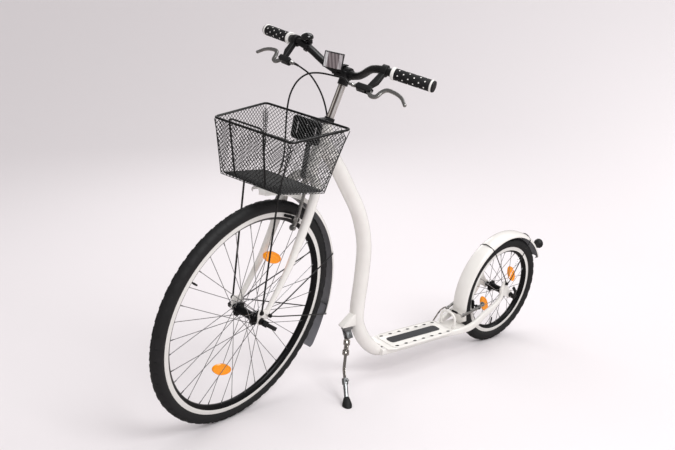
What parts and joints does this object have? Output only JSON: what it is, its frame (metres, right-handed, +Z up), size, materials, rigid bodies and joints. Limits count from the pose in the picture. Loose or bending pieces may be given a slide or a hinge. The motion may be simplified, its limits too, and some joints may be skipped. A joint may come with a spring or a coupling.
{
  "type": "kick bike",
  "caption": "Adult kick bike with a large front wheel, low foot deck, small rear wheel, wire basket, rim brakes and a side stand, resting on its stand.",
  "frame": {"origin": "middle of the kick bike's footprint, on the floor that both tyres and the stand's foot rest on", "axes": "+Z up; +Y to the rear of the kick bike, whose front faces -Y; +X to the rider's left, the side it leans to"},
  "size_m": [0.5928, 1.8378, 1.1729],
  "materials": {
    "white_paint": "gloss warm white enamel on steel",
    "black_steel": "semi-gloss black powder coat on steel",
    "black_plastic": "moulded black plastic, fine satin",
    "rubber": "soft black rubber",
    "tyre": "black tyre rubber with block tread",
    "chrome": "bright chrome plate",
    "zinc": "zinc plated steel, dull",
    "alloy": "polished and brushed alloy",
    "black_hub": "black anodised hub with bright spokes",
    "cable": "black cable casing",
    "amber_lens": "moulded amber reflector",
    "clear_lens": "clear moulded reflector in a black case",
    "dark_lens": "black moulded reflector case",
    "grit": "dark grey grit tape"
  },
  "bodies": {
    "frame": {"head_tube": "white_paint", "main_tube": "white_paint", "left_rail": "white_paint", "right_rail": "white_paint", "deck_plate": "white_paint", "grip_strip": "grit", "heel_hoop": "white_paint", "rear_fender": "white_paint", "rear_stay_front": "black_steel", "rear_stay_back": "black_steel", "tail_reflector": "dark_lens", "stand_head": "zinc", "rear_axle": "black_steel", "rear_brake_cable": "cable"},
    "steering": {"fork": "white_paint", "stem_post": "chrome", "stem_clamp": "black_steel", "handlebar": "black_steel", "left_grip": "rubber", "right_grip": "rubber", "left_lever_bracket": "black_plastic", "right_lever_bracket": "black_plastic", "bell": "black_steel", "handlebar_reflector": "clear_lens", "basket_front": "black_steel", "basket_back": "black_steel", "basket_left": "black_steel", "basket_right": "black_steel", "basket_floor": "black_steel", "basket_rim": "black_steel", "basket_bracket": "black_plastic", "basket_stay_left": "black_steel", "basket_stay_right": "black_steel", "front_fender": "white_paint", "front_stay_upper": "black_steel", "front_stay_lower": "black_steel", "front_axle": "black_steel", "front_brake_cable": "cable"},
    "front_wheel": {"front_tyre": "tyre", "front_rim": "alloy", "front_hub": "black_hub", "front_wheel_reflector_upper": "amber_lens", "front_wheel_reflector_lower": "amber_lens"},
    "rear_wheel": {"rear_tyre": "tyre", "rear_rim": "alloy", "rear_hub": "black_hub", "rear_wheel_reflector_upper": "amber_lens", "rear_wheel_reflector_lower": "amber_lens"},
    "stand": {"stand_leg": "chrome", "stand_extension": "zinc", "stand_foot": "rubber"},
    "left_lever": {"left_lever": "alloy"},
    "right_lever": {"right_lever": "alloy"},
    "front_left_arm": {"front_left_arm": "alloy"},
    "front_right_arm": {"front_right_arm": "alloy"},
    "rear_left_arm": {"rear_left_arm": "alloy"},
    "rear_right_arm": {"rear_right_arm": "alloy"},
    "bell_lever": {"bell_lever": "black_plastic"},
    "front_quick_release": {"front_qr_lever": "black_plastic"},
    "rear_quick_release": {"rear_qr_lever": "black_plastic"}
  },
  "joints": [
    {"name": "steering_turn", "type": "hinge", "parent": "frame", "child": "steering", "pos_m": [-0.0628, -0.40371, 0.75693], "axis": [0.15, 0.2842, 0.9469], "range_deg": [-51.1, 28.9], "deforming": ["rear_brake_cable"]},
    {"name": "front_wheel_spin", "type": "hinge", "parent": "steering", "child": "front_wheel", "pos_m": [-0.11955, -0.57588, 0.34118], "axis": [0.9607, 0.1846, -0.2076], "continuous": true},
    {"name": "rear_wheel_spin", "type": "hinge", "parent": "frame", "child": "rear_wheel", "pos_m": [-0.14812, 0.68747, 0.21828], "axis": [0.9877, 0, -0.1564], "continuous": true},
    {"name": "stand_fold", "type": "hinge", "parent": "frame", "child": "stand", "pos_m": [-0.14937, -0.13654, 0.18482], "axis": [0.8457, -0.1051, 0.5232], "range_deg": [0, 84]},
    {"name": "left_lever_pull", "type": "hinge", "parent": "steering", "child": "left_lever", "pos_m": [0.14932, -0.39393, 0.99589], "axis": [0.4347, -0.677, 0.5938], "range_deg": [0, 12], "stiffness_Nm_per_rad": 0.8, "springref_deg": -8.59},
    {"name": "right_lever_pull", "type": "hinge", "parent": "steering", "child": "right_lever", "pos_m": [-0.1486, -0.45151, 1.06974], "axis": [-0.1496, 0.7321, -0.6645], "range_deg": [0, 12], "stiffness_Nm_per_rad": 0.8, "springref_deg": -8.59},
    {"name": "front_left_arm_swing", "type": "hinge", "parent": "steering", "child": "front_left_arm", "pos_m": [-0.03515, -0.48517, 0.60048], "axis": [0.2348, -0.9388, 0.252], "range_deg": [0, 2.7]},
    {"name": "front_right_arm_swing", "type": "hinge", "parent": "steering", "child": "front_right_arm", "pos_m": [-0.11969, -0.50141, 0.61875], "axis": [-0.2348, 0.9388, -0.252], "range_deg": [0, 2.7]},
    {"name": "rear_left_arm_swing", "type": "hinge", "parent": "frame", "child": "rear_left_arm", "pos_m": [-0.10861, 0.53961, 0.18647], "axis": [0.1495, -0.2938, 0.9441], "range_deg": [-2.7, 0]},
    {"name": "rear_right_arm_swing", "type": "hinge", "parent": "frame", "child": "rear_right_arm", "pos_m": [-0.19552, 0.53961, 0.20023], "axis": [-0.1495, 0.2938, -0.9441], "range_deg": [-2.7, 0]},
    {"name": "bell_lever_push", "type": "hinge", "parent": "steering", "child": "bell_lever", "pos_m": [-0.109, -0.39486, 1.12428], "axis": [0.1636, -0.2493, 0.9545], "range_deg": [0, 20], "stiffness_Nm_per_rad": 0.04, "springref_deg": -11.46},
    {"name": "front_quick_release_swing", "type": "hinge", "parent": "steering", "child": "front_quick_release", "pos_m": [-0.04837, -0.5622, 0.3258], "axis": [0.0825, 0.5239, 0.8478], "range_deg": [-175, 0]},
    {"name": "rear_quick_release_swing", "type": "hinge", "parent": "frame", "child": "rear_quick_release", "pos_m": [-0.069, 0.68747, 0.20575], "axis": [-0.0831, -0.8473, -0.5247], "range_deg": [-175, 0]}
  ],
  "couplings": [
    {"joint": "front_left_arm_swing", "follows": "left_lever_pull", "ratio": 0.22},
    {"joint": "front_right_arm_swing", "follows": "left_lever_pull", "ratio": 0.22},
    {"joint": "rear_left_arm_swing", "follows": "right_lever_pull", "ratio": -0.22},
    {"joint": "rear_right_arm_swing", "follows": "right_lever_pull", "ratio": -0.22}
  ]
}
